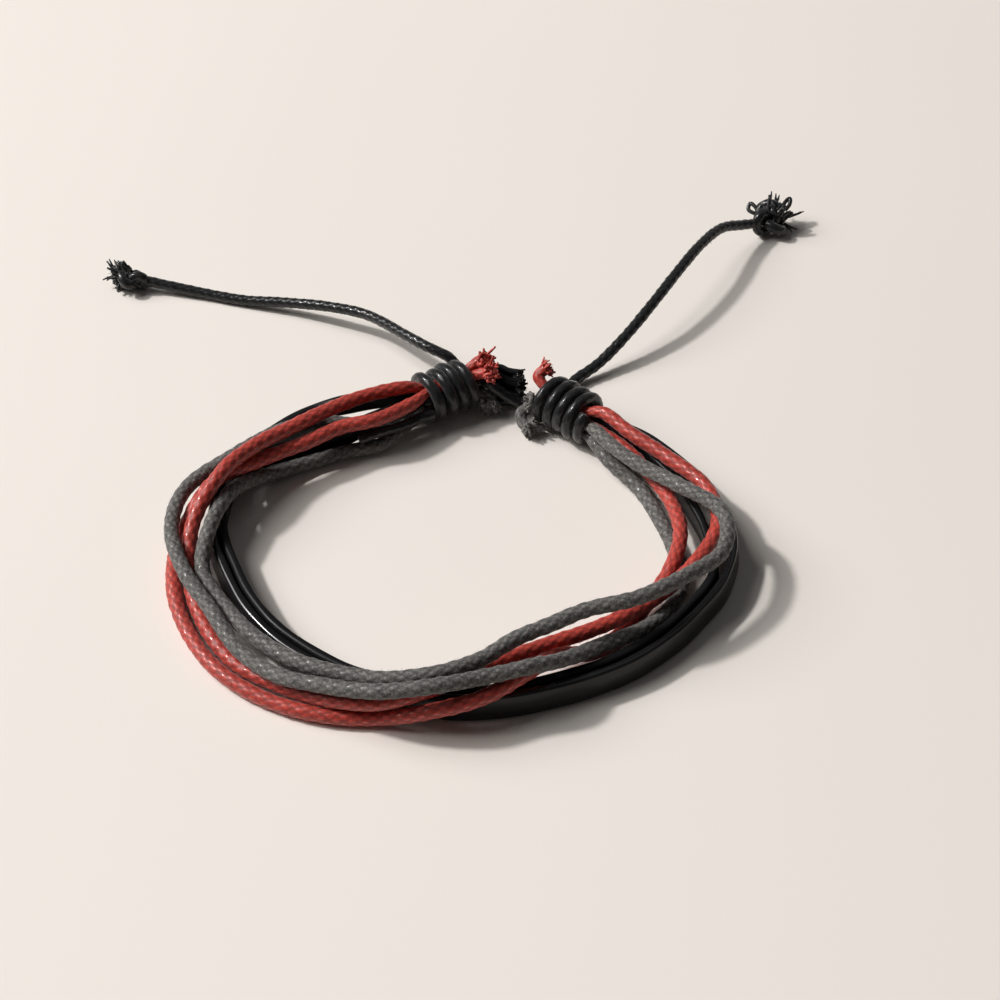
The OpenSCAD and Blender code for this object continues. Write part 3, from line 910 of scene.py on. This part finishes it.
class CordSettings(bpy.types.PropertyGroup):
    """Sizes and colours of the waxed cords"""
    diameter: bpy.props.FloatProperty(
        name="Cord thickness", description="Thickness of the red and grey cords",
        default=1.8 * MM, unit="LENGTH", precision=4)
    black_diameter: bpy.props.FloatProperty(
        name="Black cord thickness", description="Thickness of the wraps, links and draw cords",
        default=1.4 * MM, unit="LENGTH", precision=4)
    depth: bpy.props.FloatProperty(
        name="Plait depth", description="How deep the grooves of the plait are",
        default=0.1 * MM, unit="LENGTH", precision=5)
    pitch: bpy.props.FloatProperty(
        name="Plait length", description="Length of one yarn crossing along the cord",
        default=1.6 * MM, unit="LENGTH", precision=4)
    strands: bpy.props.IntProperty(
        name="Yarns", description="Yarn crossings round the cord", default=6, min=3, max=12)
    red: bpy.props.FloatVectorProperty(
        name="Red", description="Colour of the red cords", subtype="COLOR", size=4,
        min=0, max=1, default=linear((182, 60, 47)))
    grey: bpy.props.FloatVectorProperty(
        name="Grey", description="Colour of the grey cords", subtype="COLOR", size=4,
        min=0, max=1, default=linear((98, 96, 93)))
    black: bpy.props.FloatVectorProperty(
        name="Black", description="Colour of the black cord", subtype="COLOR", size=4,
        min=0, max=1, default=linear((24, 25, 27)))


class StripSettings(bpy.types.PropertyGroup):
    """Sizes and colour of the leather strips"""
    width: bpy.props.FloatProperty(
        name="Width", description="Width of a strip, which stands on edge",
        default=3.4 * MM, unit="LENGTH", precision=4)
    thickness: bpy.props.FloatProperty(
        name="Thickness", description="Thickness of the leather",
        default=1.0 * MM, unit="LENGTH", precision=4)
    edge: bpy.props.FloatProperty(
        name="Edge rounding", description="Radius of the burnished edges",
        default=0.38 * MM, unit="LENGTH", precision=5)
    leather: bpy.props.FloatVectorProperty(
        name="Leather", description="Colour of the leather", subtype="COLOR", size=4,
        min=0, max=1, default=linear((17, 17, 19)))


class StageSettings(bpy.types.PropertyGroup):
    """Table, lights and camera"""
    table: bpy.props.FloatVectorProperty(
        name="Table", description="Colour of the table", subtype="COLOR", size=4,
        min=0, max=1, default=linear((232, 226, 219)))
    key_power: bpy.props.FloatProperty(
        name="Key light", description="Power of the main light", default=44.5, unit="POWER")
    fill: bpy.props.FloatProperty(
        name="Fill", description="Strength of the light from all round", default=0.05, min=0)
    lens: bpy.props.FloatProperty(
        name="Lens", description="Focal length in millimetres", default=81.0, min=10)


# Pieces

class BRACELET_OT_stage(bpy.types.Operator):
    """Table, soft studio lights and the camera at the photograph's angle"""
    bl_idname = "bracelet.stage"
    bl_label = "Stage"

    def execute(self, context):
        scene = context.scene
        settings = scene.bracelet_stage
        aim = (AIM + SHIFT) * MM
        self.add_camera(scene, aim, settings.lens)
        self.add_table(scene, tuple(settings.table))
        for name, (toward, distance, size, share, color) in LIGHTS.items():
            self.add_light(scene, name, aim, unit(np.array(toward)), distance, size,
                           settings.key_power * share, color)
        world = bpy.data.worlds.new("room")
        world.use_nodes = True
        background = world.node_tree.nodes["Background"]
        background.inputs["Color"].default_value = WARM + (1,)
        background.inputs["Strength"].default_value = settings.fill
        scene.world = world
        scene.view_settings.view_transform = "Standard"
        return {"FINISHED"}

    @staticmethod
    def add_camera(scene, aim, lens):
        up = math.radians(ELEVATION)
        camera = bpy.data.objects.new("camera", bpy.data.cameras.new("camera"))
        camera.data.lens = lens
        camera.data.sensor_width = SENSOR
        camera.data.clip_start = 0.01
        camera.location = aim + np.array([0, -math.cos(up), math.sin(up)]) * CAMERA_DISTANCE * MM
        camera.rotation_euler = (math.radians(90 - ELEVATION), 0, 0)
        scene.collection.objects.link(camera)
        scene.camera = camera

    @staticmethod
    def add_table(scene, base):
        corners = [(x * TABLE_REACH, y * TABLE_REACH, 0)
                   for x, y in ((-1, -1), (1, -1), (1, 1), (-1, 1))]
        mesh = bpy.data.meshes.new("table")
        mesh.from_pydata(corners, [], [(0, 1, 2, 3)])
        material, tree, shader = new_material("pale table")
        tone = tree.remap(tree.noise(tree.place(), 6, detail=2), 0.3, 0.7)
        tree.fill(shader, {
            "Base Color": tree.blend(tone, base, shaded(base, 1.03)), "Roughness": 0.75})
        mesh.materials.append(material)
        table = bpy.data.objects.new("table", mesh)
        table.location.z = -TABLE_DROP * MM
        scene.collection.objects.link(table)

    @staticmethod
    def add_light(scene, name, aim, toward, distance, size, power, color):
        light = bpy.data.lights.new(name, "AREA")
        light.shape = "DISK"
        light.size = size
        light.energy = power
        light.color = color
        lamp = bpy.data.objects.new(name, light)
        lamp.location = aim + toward * distance
        lamp.rotation_euler = (0, math.acos(toward[2]), math.atan2(toward[1], toward[0]))
        scene.collection.objects.link(lamp)


class BRACELET_OT_draw_cords(bpy.types.Operator):
    """The two black draw cords and the knots at their ends"""
    bl_idname = "bracelet.draw_cords"
    bl_label = "Draw cords and knots"

    def execute(self, context):
        settings = context.scene.bracelet_cords
        material = yarn_material("black waxed cord", settings.black)
        radius = settings.black_diameter / MM / 2
        plait = (settings.depth / MM, settings.pitch / MM * BLACK_PITCH, BLACK_YARNS)
        knots = {name: self.tie(knot, radius, material) for name, knot in KNOTS.items()}
        for name, (wrap, seed, points) in DRAW_CORDS.items():
            shape = Shape()
            route = draw_route(wrap, points, radius)
            sweep = add_plaited(shape, route, RINGS["draw"], plait)
            add_hairs(shape, sweep, HAIRS["draw"], np.random.default_rng(seed))
            cord = make_piece(name + "_plait", shape, material, name)
        return {"FINISHED"}

    @staticmethod
    def tie(knot, radius, material):
        """An end knot with its frayed end, stray yarns and loops."""
        random = np.random.default_rng(knot["seed"])
        shape = Shape()
        add_plaited(shape, knot_route(knot, radius), RINGS["knot"], KNOT_PLAIT)
        end, heading, *fray = knot["fray"]
        add_tuft(shape, np.array(end), heading, *fray, random)
        for root, tip in knot["strays"]:
            add_stray(shape, root, tip, random)
        for loop in knot["loops"]:
            add_plaited(shape, smooth(with_radius(loop, LOOP_RADIUS)), RINGS["loop"], LOOP_PLAIT)
        node = knot["node"]
        return make_piece(node + "_tied", shape, material, node)


class BRACELET_OT_cords(bpy.types.Operator):
    """The two red and two grey plaited waxed cords, with frayed cut ends"""
    bl_idname = "bracelet.cords"
    bl_label = "Waxed cords"

    def execute(self, context):
        settings = context.scene.bracelet_cords
        materials = {"red": yarn_material("red waxed cord", settings.red),
                     "grey": yarn_material("grey waxed cord", settings.grey)}
        plait = (settings.depth / MM, settings.pitch / MM, settings.strands)
        for seed, (node, cord) in enumerate(CORDS.items(), SEEDS["cords"]):
            color = node.split("_")[0]
            random = np.random.default_rng(seed)
            route = cord_route(cord, settings.diameter / MM / 2)
            shape = Shape()
            sweep = add_plaited(shape, route, RINGS["cord"], plait)
            add_hairs(shape, sweep, HAIRS[color], random)
            for end, at, beyond in (("left_end", 0, 1), ("right_end", -1, -2)):
                if cord[end]:
                    tip = route[at, :3]
                    add_tuft(shape, tip, tip - route[beyond, :3], *FRAYS[node, end], random)
            make_piece(node + "_plait", shape, materials[color], node)
        return {"FINISHED"}


class BRACELET_OT_strips(bpy.types.Operator):
    """The two black leather strips, standing on edge"""
    bl_idname = "bracelet.strips"
    bl_label = "Leather strips"

    def execute(self, context):
        settings = context.scene.bracelet_strips
        materials = {node: leather_material(strip["material"], settings.leather, strip["polish"])
                     for node, strip in LEATHER.items()}
        random = np.random.default_rng(SEEDS["strips"])
        for node, strip in LEATHER.items():
            shape = Shape()
            route = strip_route(strip, settings.width / MM, settings.thickness / MM)
            add_strip(shape, route, settings.edge / MM)
            tip = route[0, :3]
            add_tuft(shape, tip, tip - route[1, :3], *STRIP_FRAY, random)
            make_piece(node + "_cut", shape, materials[node], node)
        return {"FINISHED"}


class BRACELET_OT_wraps(bpy.types.Operator):
    """The two lashed wraps and the black links between them"""
    bl_idname = "bracelet.wraps"
    bl_label = "Wraps and links"

    def execute(self, context):
        settings = context.scene.bracelet_cords
        material = yarn_material("black waxed cord", settings.black)
        radius = settings.black_diameter / MM / 2
        plait = (settings.depth / MM * WRAP_DEPTH, settings.pitch / MM * BLACK_PITCH, BLACK_YARNS)
        for node, wrap in (("left_wrap", LEFT_WRAP), ("right_wrap", RIGHT_WRAP)):
            shape = Shape()
            route = coil_route(wrap, radius)[::3]
            if wrap is LEFT_WRAP:
                tail = np.array(with_radius(LEFT_WRAP_TAIL, radius * TAIL_RADIUS))
                route = np.vstack([tail, route])
            sweep = add_plaited(shape, route, RINGS["wrap"], plait)
            add_hairs(shape, sweep, HAIRS["wrap"], np.random.default_rng(SEEDS["wraps"]))
            make_piece(node + "_turns", shape, material, node)
        for node, link in LINKS.items():
            shape = Shape()
            route = link_route(link, radius)
            add_plaited(shape, route, RINGS["wrap"], plait)
            if link["after"]:
                tip = route[-1, :3]
                add_tuft(shape, tip, tip - route[-2, :3], *LINK_FRAY,
                         np.random.default_rng(SEEDS["links"]))
            make_piece(node + "_plait", shape, material, node)
        return {"FINISHED"}


class BRACELET_PT_panel(bpy.types.Panel):
    """The bracelet's settings and pieces"""
    bl_idname = "BRACELET_PT_panel"
    bl_label = "Bracelet"
    bl_space_type = "VIEW_3D"
    bl_region_type = "UI"
    bl_category = "Bracelet"

    def draw(self, context):
        for group, operators in (
                (context.scene.bracelet_stage, ("bracelet.stage",)),
                (context.scene.bracelet_cords,
                 ("bracelet.draw_cords", "bracelet.cords", "bracelet.wraps")),
                (context.scene.bracelet_strips, ("bracelet.strips",))):
            box = self.layout.box()
            for name in group.__annotations__:
                box.prop(group, name)
            for operator in operators:
                box.operator(operator)


CLASSES = (
    CordSettings, StripSettings, StageSettings, BRACELET_OT_stage, BRACELET_OT_draw_cords,
    BRACELET_OT_cords, BRACELET_OT_strips, BRACELET_OT_wraps, BRACELET_PT_panel,
)


def register():
    for item in CLASSES:
        bpy.utils.register_class(item)
    bpy.types.Scene.bracelet_cords = bpy.props.PointerProperty(type=CordSettings)
    bpy.types.Scene.bracelet_strips = bpy.props.PointerProperty(type=StripSettings)
    bpy.types.Scene.bracelet_stage = bpy.props.PointerProperty(type=StageSettings)


def unregister():
    del bpy.types.Scene.bracelet_stage
    del bpy.types.Scene.bracelet_strips
    del bpy.types.Scene.bracelet_cords
    for item in reversed(CLASSES):
        bpy.utils.unregister_class(item)


def main():
    register()
    bpy.ops.bracelet.stage()
    bpy.ops.bracelet.draw_cords()
    bpy.ops.bracelet.cords()
    bpy.ops.bracelet.wraps()
    bpy.ops.bracelet.strips()


if __name__ == "__main__":
    main()
